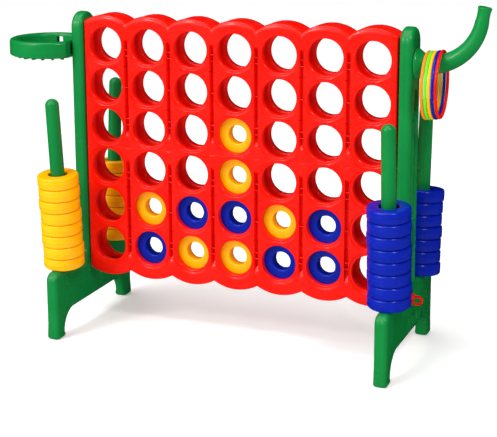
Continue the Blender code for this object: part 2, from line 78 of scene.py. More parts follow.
# Read from the frame
PANEL_LOW, PANEL_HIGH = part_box("front_upper_panel")
GRID_X = (PANEL_LOW[0] + PANEL_HIGH[0]) / 2
GRID_Z = PANEL_LOW[2] - FIT_GAP
GRID = Vector((GRID_X, 0.0, GRID_Z))
BOARD_HALF = COLUMNS * COLUMN_PITCH / 2
FRAME_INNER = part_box("right_frame")[0][0] - GRID_X
FRAME_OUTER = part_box("right_frame")[1][0] - GRID_X

# Camera: degrees, millimetres of lens, and metres from the middle of the board's grid
CAMERA_AZIMUTH = 21.87
CAMERA_ELEVATION = 12.46
CAMERA_ROLL = -0.172
CAMERA_LENS = 98.21
CAMERA_PLACE = (1.7575, -4.2937, 1.0626)
CAMERA_SHIFT = -0.1509
CAMERA_SENSOR = 36.0
CAMERA_REACH = 200.0

# Each plastic's base colour and roughness
PLASTICS = {
    "red": ((0.76, 0.0045, 0.0004), 0.20),
    "green": ((0.0022, 0.178, 0.034), 0.24),
    "yellow": ((0.90, 0.405, 0.0006), 0.24),
    "blue": ((0.0008, 0.011, 0.30), 0.22),
    "orange": ((0.90, 0.210, 0.008), 0.32),
    "lime": ((0.10, 0.690, 0.020), 0.32),
}


# ---------------------------------------------------------------- materials

# Sockets of a Mix node that is set to colours, which has others of the same name
MIX_A = 6
MIX_B = 7
MIX_RESULT = 2

PLASTIC_IOR = 1.49
PLASTIC_SPECULAR = 0.22
EDGE_WEAR = 0.14            # how much paler a rubbed edge can be
SCRATCH_MATTNESS = 0.10
SCRATCH_TURN = (0.5, 0.3, 0.8)
SCRATCH_STRETCH = (1.0, 16.0, 1.3)

# Scales of the plastics' noises, per metre
MOTTLE_SCALE = 7.0
PATCH_SCALE = 34.0
SMEAR_SCALE = 16.0
SCRATCH_SCALE = 38.0
WAVE_SCALE = 9.0
GRAIN_SCALE = 950.0


def wire(tree, source, output, target, socket):
    tree.links.new(source.outputs[output], target.inputs[socket])


def add_node(tree, kind, **values):
    """A shader node with its plain properties and its input defaults set by name."""
    node = tree.nodes.new(kind)
    for name, value in values.items():
        if hasattr(node, name):
            setattr(node, name, value)
        else:
            node.inputs[name.replace("_", " ")].default_value = value
    return node


def noise(tree, coordinates, scale, detail=4.0, roughness=0.55):
    node = add_node(tree, "ShaderNodeTexNoise", Scale=scale, Detail=detail, Roughness=roughness)
    wire(tree, coordinates, "Object", node, "Vector")
    return node


def ramp(tree, low, high, dark, bright):
    """A colour ramp between two places, from one colour or grey to another."""
    node = tree.nodes.new("ShaderNodeValToRGB")
    for element, place, value in zip(node.color_ramp.elements, (low, high), (dark, bright)):
        element.position = place
        colour = (value,) * 3 if isinstance(value, float) else value
        element.color = (*colour, 1.0)
    return node


def plastic_colour(tree, place, colour):
    """Broad mottling, with pale rubbed edges that come and go in patches."""
    darker = tuple(c * 0.94 for c in colour)
    lighter = tuple(min(1.0, c * 1.05 + 0.001) for c in colour)
    mottle = noise(tree, place, MOTTLE_SCALE, 3.0)
    tint = ramp(tree, 0.34, 0.66, darker, lighter)
    wire(tree, mottle, "Fac", tint, "Fac")
    geometry = add_node(tree, "ShaderNodeNewGeometry")
    edge = ramp(tree, 0.54, 0.66, 0.0, EDGE_WEAR)
    wire(tree, geometry, "Pointiness", edge, "Fac")
    patch = noise(tree, place, PATCH_SCALE, 6.0, 0.6)
    patches = ramp(tree, 0.46, 0.62, 0.15, 1.0)
    wire(tree, patch, "Fac", patches, "Fac")
    wear = add_node(tree, "ShaderNodeMath", operation="MULTIPLY")
    wire(tree, edge, "Color", wear, 0)
    wire(tree, patches, "Color", wear, 1)
    rubbed = add_node(tree, "ShaderNodeMix", data_type="RGBA")
    rubbed.inputs[MIX_B].default_value = (*[c * 0.80 + 0.13 for c in colour], 1.0)
    wire(tree, wear, "Value", rubbed, 0)
    wire(tree, tint, "Color", rubbed, MIX_A)
    return rubbed.outputs[MIX_RESULT]


def plastic_scratches(tree, place):
    """Long fine scratches, as an amount to add to the roughness."""
    stretch = add_node(tree, "ShaderNodeMapping")
    stretch.inputs["Rotation"].default_value = SCRATCH_TURN
    stretch.inputs["Scale"].default_value = SCRATCH_STRETCH
    wire(tree, place, "Object", stretch, "Vector")
    streak = add_node(tree, "ShaderNodeTexNoise", Scale=SCRATCH_SCALE, Detail=5.0, Roughness=0.7)
    wire(tree, stretch, "Vector", streak, "Vector")
    scratches = ramp(tree, 0.63, 0.72, 0.0, SCRATCH_MATTNESS)
    wire(tree, streak, "Fac", scratches, "Fac")
    return scratches


def plastic_roughness(tree, place, scratches, roughness):
    """Matt patches, and the scratches over them."""
    smear = noise(tree, place, SMEAR_SCALE, 5.0, 0.6)
    matt = ramp(tree, 0.35, 0.70, roughness * 0.86, roughness * 1.22)
    wire(tree, smear, "Fac", matt, "Fac")
    rough = add_node(tree, "ShaderNodeMath", operation="ADD", use_clamp=True)
    wire(tree, matt, "Color", rough, 0)
    wire(tree, scratches, "Color", rough, 1)
    return rough.outputs["Value"]


def plastic_bump(tree, place, scratches):
    """Slow mould waves, then fine grain, then the scratches as shallow cuts."""
    wave = noise(tree, place, WAVE_SCALE, 2.0)
    waves = add_node(tree, "ShaderNodeBump", Strength=0.14, Distance=0.0014)
    wire(tree, wave, "Fac", waves, "Height")
    pebble = noise(tree, place, GRAIN_SCALE, 2.0)
    fine = add_node(tree, "ShaderNodeBump", Strength=0.07, Distance=0.0002)
    wire(tree, pebble, "Fac", fine, "Height")
    wire(tree, waves, "Normal", fine, "Normal")
    cuts = add_node(tree, "ShaderNodeBump", Strength=0.06, Distance=0.0002, invert=True)
    wire(tree, scratches, "Color", cuts, "Height")
    wire(tree, fine, "Normal", cuts, "Normal")
    return cuts.outputs["Normal"]


def moulded_plastic(name, colour, roughness):
    """Glossy moulded plastic with slightly uneven colour, gloss and surface."""
    material = bpy.data.materials.new(name)
    material.use_nodes = True
    tree = material.node_tree
    shader = tree.nodes["Principled BSDF"]
    shader.inputs["IOR"].default_value = PLASTIC_IOR
    shader.inputs["Specular IOR Level"].default_value = PLASTIC_SPECULAR
    place = add_node(tree, "ShaderNodeTexCoord")
    scratches = plastic_scratches(tree, place)
    sources = {
        "Base Color": plastic_colour(tree, place, colour),
        "Roughness": plastic_roughness(tree, place, scratches, roughness),
        "Normal": plastic_bump(tree, place, scratches),
    }
    for socket, source in sources.items():
        tree.links.new(source, shader.inputs[socket])
    return material


MATERIALS = {name: moulded_plastic(name + "_moulded", *look) for name, look in PLASTICS.items()}


# ---------------------------------------------------------------- mesh tools

def loft(bm, loops, close=False):
    """Skin a row of equal loops with quads. A loop of one point is a pole."""
    rows = [[bm.verts.new(point) for point in loop] for loop in loops]
    pairs = list(zip(rows, rows[1:]))
    if close:
        pairs.append((rows[-1], rows[0]))
    for a, b in pairs:
        count = max(len(a), len(b))
        for k in range(count):
            n = (k + 1) % count
            corners = [a[k % len(a)], a[n % len(a)], b[n % len(b)], b[k % len(b)]]
            bm.faces.new(list(dict.fromkeys(corners)))
    return rows


def circle(radius, height, segments):
    turn = 2 * math.pi / segments
    return [Vector((radius * math.cos(turn * k), radius * math.sin(turn * k), height))
            for k in range(segments)]


def turned(profile, segments, close=False):
    """A profile of radii and heights turned about the vertical axis."""
    bm = bmesh.new()
    loft(bm, [circle(r, z, segments) if r > 1e-6 else [Vector((0, 0, z))]
              for r, z in profile], close)
    return bm


def arc(centre, radius, start, end, steps):
    """Points on an arc in a plane, both ends included, angles in degrees."""
    angles = [math.radians(start + (end - start) * k / steps) for k in range(steps + 1)]
    return [(centre[0] + radius * math.cos(a), centre[1] + radius * math.sin(a)) for a in angles]


def smooth_step(value, low, high):
    t = min(1.0, max(0.0, (value - low) / (high - low)))
    return t * t * (3 - 2 * t)


def rounding(distance, radius):
    """How far a rounded edge has fallen at a distance inside the edge."""
    if distance >= radius:
        return 0.0
    reach = 1 - max(distance, 0.0) / radius
    return radius * (1 - math.sqrt(max(0.0, 1 - reach * reach)))


def add_mesh(name, bm, colour, body, replaced=None, sharp=40):
    """Finish a mesh as a visible piece: outward faces, smooth shading, material, body."""
    bmesh.ops.recalc_face_normals(bm, faces=bm.faces)
    mesh = bpy.data.meshes.new(name)
    bm.to_mesh(mesh)
    bm.free()
    mesh.materials.append(MATERIALS[colour])
    mesh.shade_smooth()
    mesh.set_sharp_from_angle(angle=math.radians(sharp))
    piece = bpy.data.objects.new(name, mesh)
    bpy.context.collection.objects.link(piece)
    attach(piece, body)
    if replaced:
        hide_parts(replaced)
    return piece


def carve(piece, cutters):
    """Cut closed meshes out of a piece."""
    for bm in cutters:
        bmesh.ops.recalc_face_normals(bm, faces=bm.faces)
        mesh = bpy.data.meshes.new("cutter")
        bm.to_mesh(mesh)
        bm.free()
        tool = bpy.data.objects.new("cutter", mesh)
        bpy.context.collection.objects.link(tool)
        cut = piece.modifiers.new("cut", "BOOLEAN")
        cut.operation = "DIFFERENCE"
        cut.solver = "EXACT"
        cut.object = tool
        graph = bpy.context.evaluated_depsgraph_get()
        result = bpy.data.meshes.new_from_object(piece.evaluated_get(graph))
        piece.modifiers.remove(cut)
        piece.data = result
        bpy.data.objects.remove(tool, do_unlink=True)
    piece.data.shade_smooth()
    piece.data.set_sharp_from_angle(angle=math.radians(30))


def rounded_bar(bm, low, high, radius):
    """Add a box with rounded edges between two corners."""
    made = bmesh.ops.create_cube(bm, size=1.0)["verts"]
    for vert in made:
        for axis in range(3):
            middle = (low[axis] + high[axis]) / 2
            vert.co[axis] = middle + vert.co[axis] * (high[axis] - low[axis])
    edges = list({edge for vert in made for edge in vert.link_edges})
    bmesh.ops.bevel(bm, geom=edges, offset=radius, segments=3, profile=0.5, affect="EDGES")


# ---------------------------------------------------------------- board skins

LIP_ROUND = 0.0042          # the rounded mouth of a hole
LIP_STEP_START = 0.0092     # the step round a hole, from the hole's edge
LIP_STEP_END = 0.0118
STEP_DEPTH = 0.0022         # how far the bands at holes and rims lie under the field
RIM_ROUND = 0.0065          # the rounded edge of the board
RIM_STEP_START = 0.0080
RIM_STEP_END = 0.0108
RIM_SLANT = 0.95            # from the height under a wavy edge to the distance from it
SEAM_ROUND = 0.0008
GROOVE_HALF = 0.0068
GROOVE_WALL = 0.0012
GROOVE_DEPTH = 0.0180
GROOVE_TOP = 0.384          # the grooves' ends, from the seam
GROOVE_SEAM = 0.052
GROOVE_BOTTOM = 0.402
GROOVE_RUN = 0.006          # the slope at a groove's end
TICK_OFFSETS = (-0.135, -0.113, 0.0, 0.113, 0.135)
TICK_HALF = 0.0014
TICK_DROP = 0.0045          # how far the ticks lie under the outer face
TICK_SINK = 0.001           # how far they run into the groove's walls
TICK_FLOOR = 0.002          # how far they run under its floor
SIDE_STEPS = 16

# Rings of a cell's outer face: distance inside each kind of side, from the innermost ring
INSETS = {
    "column": (0.0092, 0.0080, 0.0072, 0.0064, 0.0056, 0.0),
    "row": (0.0014, 0.0011, 0.0008, 0.0005, 0.0003, 0.0),
    "seam": (0.0018, 0.0014, 0.0010, 0.0006, 0.0003, 0.0),
    "end": (0.0110, 0.0082, 0.0060, 0.0036, 0.0012, 0.0),
    "rim": (0.0112, 0.0082, 0.0058, 0.0036, 0.0012, 0.0),
}
INSET_RINGS = len(INSETS["column"])

# Rings round a hole: distance from its edge where there is room, and where the cell is narrow
WIDE_RINGS = (0.0120, 0.0105, 0.0091, 0.0062, 0.0042, 0.0026, 0.0013, 0.0004, 0.0)
TIGHT_RINGS = (0.0092, 0.0085, 0.0076, 0.0058, 0.0042, 0.0026, 0.0013, 0.0004, 0.0)
RING_GAP = 0.0006
BRIDGE_SHARES = (0.36, 0.72)

WALL_BULGE = 0.0003         # the hole's wall is a little narrower in its middle
WALL_BAND = 0.001
WALL_FOOT = ((0.0, 0.004), (0.0008, 0.0016), (0.0030, 0.0))
CHANNEL_GAP = 0.0010        # the slider's channel in the inner face
CHANNEL_DEPTH = 0.0112
WELD_DISTANCE = 2e-5
NO_AREA = 1e-12

RIB_GAP = 0.003             # the ribs stop short of the seam and the slider
RIB_TOP_GAP = 0.008
RIB_SINK = 0.003
RIB_ROUND = 0.0018
TAB_NEAR = 0.0006
TAB_FAR = 0.0142
TAB_ROUND = 0.0022
END_SINK = 0.004            # how far tabs and ledge run into the board's ends
LEDGE_DEPTH = 0.013
LEDGE_GAP = 0.0008
LEDGE_LOW = 0.0068
LEDGE_ROUND = 0.0012


def scallop(x, valley, rise):
    """Height of the wavy edge at a distance from the column's middle."""
    half = COLUMN_PITCH / 2
    radius = (half * half + rise * rise) / (2 * rise)
    return valley + math.sqrt(radius * radius - x * x) - (radius - rise)


class Cell:
    """One hole's share of a skin. Sides: right, top, left, bottom."""

    def __init__(self, row, column):
        self.x = (column - (COLUMNS - 1) / 2) * COLUMN_PITCH
        self.z = ((ROWS - 1) / 2 - row) * ROW_PITCH
        self.right = "end" if column == COLUMNS - 1 else "column"
        self.left = "end" if column == 0 else "column"
        self.top = "rim" if row == 0 else "seam" if row == ROWS // 2 else "row"
        self.bottom = "rim" if row == ROWS - 1 else "seam" if row == ROWS // 2 - 1 else "row"

    def top_at(self, x):
        if self.top == "rim":
            return scallop(x, TOP_VALLEY, TOP_RISE) - self.z
        return ROW_PITCH / 2 - (FIT_GAP if self.top == "seam" else 0)

    def bottom_at(self, x):
        if self.bottom == "rim":
            return -scallop(x, -BOTTOM_VALLEY, BOTTOM_DROP) - self.z
        return -ROW_PITCH / 2 + (FIT_GAP if self.bottom == "seam" else 0)

    def outline(self, insets):
        """Points round the cell, inset from its four sides, from the lower right corner."""
        right, top, left, bottom = insets
        half = COLUMN_PITCH / 2
        x_high, x_low = half - right, -half + left
        shares = [k / SIDE_STEPS for k in range(SIDE_STEPS)]
        low, high = self.bottom_at(half) + bottom, self.top_at(half) - top
        points = [(x_high, low + (high - low) * t) for t in shares]
        for t in shares:
            x = x_high + (x_low - x_high) * t
            points.append((x, self.top_at(half - 2 * half * t) - top))
        low, high = self.bottom_at(-half) + bottom, self.top_at(-half) - top
        points += [(x_low, high + (low - high) * t) for t in shares]
        for t in shares:
            x = x_low + (x_high - x_low) * t
            points.append((x, self.bottom_at(-half + 2 * half * t) + bottom))
        return points

    def side_of(self, k):
        """The kind of side that a point of the outline starts on."""
        return (self.right, self.top, self.left, self.bottom)[(k // SIDE_STEPS) % 4]

    def groove(self, x, z):
        """How deep the grooves are at a point, from 0 to 1."""
        half = COLUMN_PITCH / 2
        height = self.z + z
        along = min(smooth_step(abs(height), GROOVE_SEAM, GROOVE_SEAM + GROOVE_RUN),
                    smooth_step(GROOVE_TOP - height, 0.0, GROOVE_RUN),
                    smooth_step(GROOVE_BOTTOM + height, 0.0, GROOVE_RUN))
        deepest = 0.0
        for kind, distance in ((self.right, half - x), (self.left, half + x)):
            if kind == "column":
                across = 1 - smooth_step(distance, GROOVE_HALF - GROOVE_WALL,
                                         GROOVE_HALF + GROOVE_WALL)
                deepest = max(deepest, across * along)
        return deepest

    def surface(self, x, z):
        """Depth of the outer face at a point, measured outward from the board's middle."""
        half = COLUMN_PITCH / 2
        above, below = self.top_at(x) - z, z - self.bottom_at(x)
        edges = []
        if self.right == "end":
            edges.append(half - x)
        if self.left == "end":
            edges.append(half + x)
        if self.top == "rim":
            edges.append(above * RIM_SLANT)
        if self.bottom == "rim":
            edges.append(below * RIM_SLANT)
        hole = math.hypot(x, z) - HOLE_RADIUS
        raised = smooth_step(hole, LIP_STEP_START, LIP_STEP_END)
        fall = 0.0
        for distance in edges:
            raised = min(raised, smooth_step(distance, RIM_STEP_START, RIM_STEP_END))
            fall = max(fall, rounding(distance, RIM_ROUND))
        for kind, distance in ((self.top, above), (self.bottom, below)):
            if kind == "seam":
                fall = max(fall, rounding(distance, SEAM_ROUND))
        depth = SKIN_OUT - STEP_DEPTH * (1 - raised) - fall
        return depth - rounding(hole, LIP_ROUND) - GROOVE_DEPTH * self.groove(x, z)

    def lifted(self, points):
        """Points of the outer face over flat ones."""
        return [(x, self.surface(x, z), z) for x, z in points]


def cell_loops(cell):
    """Closed loops from the outer face's boundary through the hole to the inner face's."""
    sides = (cell.right, cell.top, cell.left, cell.bottom)
    flat = [cell.outline([INSETS[side][ring] for side in sides]) for ring in range(INSET_RINGS)]
    boundary = flat[-1]
    rays = []
    for x, z in boundary:
        length = math.hypot(x, z)
        rays.append((x / length, z / length))
    loops = [cell.lifted(ring) for ring in reversed(flat)]

    # From the innermost of those rings to the widest that has room round the hole
    widest = []
    for x, z in flat[0]:
        room = math.hypot(x, z) - HOLE_RADIUS - RING_GAP
        widest.append(min(WIDE_RINGS[0], max(TIGHT_RINGS[0], room)))
    for t in BRIDGE_SHARES:
        ring = []
        for (x, z), (u, v), reach in zip(flat[0], rays, widest):
            radius = HOLE_RADIUS + reach
            ring.append((x + (u * radius - x) * t, z + (v * radius - z) * t))
        loops.append(cell.lifted(ring))

    # Over the hole's lip
    for wide, tight in zip(WIDE_RINGS, TIGHT_RINGS):
        ring = []
        for (u, v), reach in zip(rays, widest):
            share = (reach - TIGHT_RINGS[0]) / (WIDE_RINGS[0] - TIGHT_RINGS[0])
            radius = HOLE_RADIUS + tight + (wide - tight) * share
            ring.append((u * radius, v * radius))
        loops.append(cell.lifted(ring))

    # Down the hole's wall
    middle = (SKIN_OUT - STEP_DEPTH - LIP_ROUND + SLOT_HALF) / 2
    wall = [(-WALL_BULGE, middle + WALL_BAND), (-WALL_BULGE, middle - WALL_BAND)]
    wall += [(wider, SLOT_HALF + above) for wider, above in WALL_FOOT]
    for wider, depth in wall:
        radius = HOLE_RADIUS + wider
        loops.append([(u * radius, depth, v * radius) for u, v in rays])
    return loops, boundary


def inner_loops(cell, boundary):
    """The inner face. Under the slider it steps back to make the slider's channel."""
    if cell.bottom != "rim":
        return [[(x, SLOT_HALF, z) for x, z in boundary]]
    shelf = SLIDER_TOP + CHANNEL_GAP - cell.z
    channel = SLOT_HALF + CHANNEL_DEPTH
    bent = [(x, max(z, shelf)) for x, z in boundary]
    return [[(x, SLOT_HALF, z) for x, z in bent], [(x, channel, z) for x, z in bent],
            [(x, channel, z) for x, z in boundary]]


def add_cell(bm, cell, side):
    """One cell's share of a skin, with the skin's edge where the cell lies on it."""
    loops, boundary = cell_loops(cell)
    loops += inner_loops(cell, boundary)
    placed = [[Vector((cell.x + x, side * y, cell.z + z)) for x, y, z in loop] for loop in loops]
    made = loft(bm, placed)
    outer, inner = made[0], made[-1]
    count = len(outer)
    for k in range(count):
        if cell.side_of(k) in ("rim", "end", "seam"):
            n = (k + 1) % count
            bm.faces.new([outer[k], outer[n], inner[n], inner[k]])


def board_skin(node, side, upper):
    """Half a skin of the board, built cell by cell and welded along the shared lines."""
    bm = bmesh.new()
    rows = range(0, ROWS // 2) if upper else range(ROWS // 2, ROWS)
    for row in rows:
        for column in range(COLUMNS):
            add_cell(bm, Cell(row, column), side)
    bmesh.ops.remove_doubles(bm, verts=bm.verts, dist=WELD_DISTANCE)
    flat = [face for face in bm.faces if face.calc_area() < NO_AREA]
    bmesh.ops.delete(bm, geom=flat, context="FACES_ONLY")
    add_ribs(bm, side, upper)
    add_groove_ticks(bm, side, upper)
    bm.transform(Matrix.Translation(GRID))
    return add_mesh(node + "_skin", bm, "red", "game", node, sharp=50)


def add_ribs(bm, side, upper):
    """Column dividers, end tabs and the slider's ledge on the inner face."""
    if upper:
        low, high = RIB_GAP, TOP_VALLEY - RIB_TOP_GAP
    else:
        low, high = SLIDER_TOP + RIB_GAP, -RIB_GAP
    near, far = sorted((side * FIT_GAP, side * (SLOT_HALF + RIB_SINK)))
    for line in range(COLUMNS + 1):
        x = (line - COLUMNS / 2) * COLUMN_PITCH
        x_low = max(x - RIB_WIDTH / 2, -BOARD_HALF)
        x_high = min(x + RIB_WIDTH / 2, BOARD_HALF)
        rounded_bar(bm, (x_low, near, low), (x_high, far, high), RIB_ROUND)
    low = TAB_LOW if upper else TAB_LOW - 2 * TAB_SLOT_CENTRE
    near, far = sorted((side * TAB_NEAR, side * TAB_FAR))
    for end in (-1, 1):
        x_low, x_high = sorted((end * (BOARD_HALF - END_SINK), end * (BOARD_HALF + TAB_LENGTH)))
        rounded_bar(bm, (x_low, near, low), (x_high, far, low + TAB_HEIGHT), TAB_ROUND)
    if not upper:
        near, far = sorted((side * SLOT_HALF, side * (SLOT_HALF + LEDGE_DEPTH)))
        rounded_bar(bm, (-BOARD_HALF + END_SINK, near, SLIDER_BOTTOM - LEDGE_LOW),
                    (BOARD_HALF - END_SINK, far, SLIDER_BOTTOM - LEDGE_GAP), LEDGE_ROUND)


def add_groove_ticks(bm, side, upper):
    """Small bridges across the grooves: one in the middle and a pair towards each end."""
    high, low = (GROOVE_TOP, GROOVE_SEAM) if upper else (-GROOVE_SEAM, -GROOVE_BOTTOM)
    middle = (high + low) / 2
    floor = SKIN_OUT - GROOVE_DEPTH - TICK_FLOOR
    near, far = sorted((side * floor, side * (SKIN_OUT - TICK_DROP)))
    reach = GROOVE_HALF + TICK_SINK
    for line in range(1, COLUMNS):
        x = (line - COLUMNS / 2) * COLUMN_PITCH
        for offset in TICK_OFFSETS:
            z = middle + offset
            rounded_bar(bm, (x - reach, near, z - TICK_HALF), (x + reach, far, z + TICK_HALF),
                        0.0009)


def build_board():
    for side, face in ((-1, "front"), (1, "back")):
        board_skin(f"{face}_upper_panel", side, True)
        board_skin(f"{face}_lower_panel", side, False)


# ---------------------------------------------------------------- discs and rings

DISC_RADIUS = 0.0733
DISC_BORE = 0.0330
DISC_HALF = 0.043 / 2
DISC_ROUND = 0.0080
BORE_ROUND = 0.0050
DISC_SEGMENTS = 72
TOSS_COLOURS = ("orange", "lime", "yellow", "blue", "red")
TOSS_RADIUS = 0.109
TOSS_TUBE_RADIUS = 0.0055
TOSS_SEGMENTS = 96


def disc_profile():
    """Rounded edges outside and in the bore, a faint parting line, slightly crowned."""
    face = arc((DISC_RADIUS - DISC_ROUND - 0.0003, DISC_HALF - DISC_ROUND), DISC_ROUND, 6, 90, 7)
    well = arc((DISC_BORE + BORE_ROUND, DISC_HALF - BORE_ROUND), BORE_ROUND, 90, 180, 6)
    top = [(DISC_RADIUS, 0.0006), (DISC_RADIUS - 0.0004, 0.0016)] + face
    top += [(DISC_BORE + BORE_ROUND + 0.011, DISC_HALF - 0.0005)] + well
    top += [(DISC_BORE + 0.0002, 0.0)]
    bottom = [(r, -z) for r, z in reversed(top[:-1])]
    return top + bottom


def centre_of(node):
    low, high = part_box(node)
    return (Vector(low) + Vector(high)) / 2


def build_discs():
    profile = disc_profile()
    for node in sorted(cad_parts):
        if "_disc_" not in node:
            continue
        middle = centre_of(node)
        bm = turned(profile, DISC_SEGMENTS, close=True)
        if "_board_" in node:
            turn = Matrix.Rotation(math.pi / 2, 4, "X")
        else:
            side = -1 if middle.y < 0 else 1
            turn = Matrix.Rotation(-side * POST_LEAN, 4, "X")
        bm.transform(Matrix.Translation(middle) @ turn)
        add_mesh(node + "_ring", bm, node.split("_")[0], node, node, sharp=60)


def build_toss_rings():
    tube = arc((TOSS_RADIUS, 0.0), TOSS_TUBE_RADIUS, 0, 360, 16)[:-1]
    turn = Matrix.Rotation(TOSS_YAW, 4, "Z") @ Matrix.Rotation(math.pi / 2, 4, "Y")
    for colour in TOSS_COLOURS:
        node = colour + "_toss_ring"
        bm = turned(tube, TOSS_SEGMENTS, close=True)
        bm.transform(Matrix.Translation(centre_of(node)) @ turn)
        add_mesh(node + "_tube", bm, colour, node, node, sharp=60)


# ---------------------------------------------------------------- posts

PLUG_DEPTH = 0.036
PLUG_RADIUS = 0.0172
COLLAR_RADIUS = 0.0270
COLLAR_HEIGHT = 0.0102
POST_ROOT_RADIUS = 0.0264
POST_TIP_RADIUS = 0.0242
POST_DOME_START = 0.598
POST_SEGMENTS = 64
PARTING_SEGMENTS = (0, POST_SEGMENTS // 2)
PARTING_SPAN = (0.011, 0.59)
PARTING_SWELL = 1.016


def post_profile():
    """Radii and heights: the plug, the collar, the taper and the dome."""
    profile = [(0.0, -PLUG_DEPTH), (PLUG_RADIUS - 0.0012, -PLUG_DEPTH),
               (PLUG_RADIUS, -PLUG_DEPTH + 0.002), (PLUG_RADIUS, 0.0),
               (COLLAR_RADIUS - 0.0008, 0.0), (COLLAR_RADIUS, 0.0012),
               (COLLAR_RADIUS, COLLAR_HEIGHT - 0.0012), (POST_ROOT_RADIUS, COLLAR_HEIGHT)]
    steps = 6
    narrowing = POST_ROOT_RADIUS - POST_TIP_RADIUS
    rise = POST_DOME_START - COLLAR_HEIGHT
    profile += [(POST_ROOT_RADIUS - narrowing * k / steps, COLLAR_HEIGHT + rise * k / steps)
                for k in range(1, steps + 1)]
    dome = POST_LENGTH - POST_DOME_START
    profile += [(POST_TIP_RADIUS * math.cos(math.radians(a)),
                 POST_DOME_START + dome * math.sin(math.radians(a))) for a in range(10, 90, 10)]
    return profile + [(0.0, POST_LENGTH)]


def raise_parting_lines(bm):
    """Lift the two rows of points that make a post's parting lines."""
    low, high = PARTING_SPAN
    for vert in bm.verts:
        angle = math.atan2(vert.co.y, vert.co.x) / (2 * math.pi)
        segment = round(angle * POST_SEGMENTS) % POST_SEGMENTS
        if segment in PARTING_SEGMENTS and low < vert.co.z < high:
            vert.co.x *= PARTING_SWELL


def post_point(end, side, along):
    """A point on a post's axis, at a distance from its seat on the frame."""
    y = side * (POST_SEAT_DEPTH + along * math.sin(POST_LEAN))
    z = POST_SEAT_HEIGHT - GRID_Z + along * math.cos(POST_LEAN)
    return GRID + Vector((end * (FRAME_INNER + FRAME_OUTER) / 2, y, z))


def build_posts():
    """Tapered tubes with a domed tip, a foot collar and a parting line on each side."""
    profile = post_profile()
    for end, hand in ((-1, "left"), (1, "right")):
        for side, place in ((-1, "front"), (1, "back")):
            bm = turned(profile, POST_SEGMENTS)
            raise_parting_lines(bm)
            bm.transform(Matrix.Translation(post_point(end, side, FIT_GAP))
                         @ Matrix.Rotation(-side * POST_LEAN, 4, "X"))
            node = f"{hand}_{place}_post"
            add_mesh(node + "_tube", bm, "green", "game", node, sharp=50)


# ---------------------------------------------------------------- frames

FRAME_HALF_DEPTH = 0.291
FRAME_TOP = 1.150
FOOT_WIDTH = 0.057
TOE_ROUND = 0.0105
BEAM_HALF = 0.055
BEAM_ROOT_ROUND = 0.030
SHOULDER_ROUND = 0.032
ARCH_HEIGHT = 0.090
ARCH_ROUND = 0.070
SOLE_BAND = 0.012           # the soles' points are inset only half as far
EDGE_ROUND = 0.0135
EDGE_ANGLES = (90, 70, 50, 30, 12, 0)
PARTING_HALF = 0.0012
PARTING_DEPTH = 0.0003
TAB_SLOT_HALF_DEPTH = 0.0155
TAB_SLOT_ROUND = 0.006
SLIT_HALF_DEPTH = 0.0338
SLIT_GAP = 0.0008
SLIT_ROUND = 0.0005
CUT_PAST = 0.02             # how far a cutter reaches past the frame
SLIT_PAST = 0.01
FLUTE_SPACING = 0.044
FLUTE_HALF = 0.0130
FLUTE_DEPTH = 0.0095
FLUTE_SPANS = ((0.165, -0.180), (-0.290, -0.400))
FLUTE_END_STEPS = 12

# Rings of a flute's wall: width past FLUTE_HALF, and distance past the frame's outer face
FLUTE_WALL = ((-0.004, -FLUTE_DEPTH), (-0.001, -FLUTE_DEPTH + 0.003), (0.002, -0.0012),
              (0.006, 0.004))

BADGE_PLACE = Vector((0, 0.045, -0.545))
BADGE_HALF_WIDTH = 0.078
BADGE_HALF_HEIGHT = 0.023
BADGE_CORNER = 0.010
BADGE_SLANT = 0.010
BADGE_STEPS = ((0.0, -0.001), (0.0, 0.0012), (0.0010, 0.0022), (0.0042, 0.0022),
               (0.0052, 0.0008))
HATCH_SIDE_COUNT = 5
HATCH_SPACING = 0.0125
HATCH_HALF_WIDTH = 0.0022
HATCH_HALF_HEIGHT = 0.0125


def frame_outline():
    """Side view of a frame as (y, z above the floor), finely stepped for rounding."""
    lean = math.tan(POST_LEAN)
    shoulder = FRAME_HALF_DEPTH - SHOULDER_ROUND
    shoulder_z = POST_SEAT_HEIGHT - (shoulder - POST_SEAT_DEPTH) * lean
    root = BEAM_HALF + BEAM_ROOT_ROUND
    root_z = POST_SEAT_HEIGHT + (POST_SEAT_DEPTH - root) * lean
    inner = FRAME_HALF_DEPTH - FOOT_WIDTH
    half = arc((-inner - TOE_ROUND, TOE_ROUND), TOE_ROUND, 0, -90, 3)
    half += arc((-FRAME_HALF_DEPTH + TOE_ROUND, TOE_ROUND), TOE_ROUND, -90, -180, 3)
    half += [(-FRAME_HALF_DEPTH, z) for z in (0.06, 0.12, 0.17)]
    half += arc((-shoulder, shoulder_z - SHOULDER_ROUND), SHOULDER_ROUND, 180, 95, 8)
    for y in (-0.2, -0.14):
        half.append((y, POST_SEAT_HEIGHT + (POST_SEAT_DEPTH + y) * lean))
    half += arc((-root, root_z + BEAM_ROOT_ROUND), BEAM_ROOT_ROUND, -85, 0, 6)
    half += [(-BEAM_HALF, z) for z in (0.35, 0.45, 0.6, 0.75, 0.9, 1.0)]
    top = arc((0, FRAME_TOP - BEAM_HALF), BEAM_HALF, 180, 0, 24)
    back = [(-y, z) for y, z in reversed(half)]
    arch = arc((inner - ARCH_ROUND, ARCH_HEIGHT - ARCH_ROUND), ARCH_ROUND, 0, 90, 12)
    arch += [(-y, z) for y, z in reversed(arch)]
    return half + top + back + arch


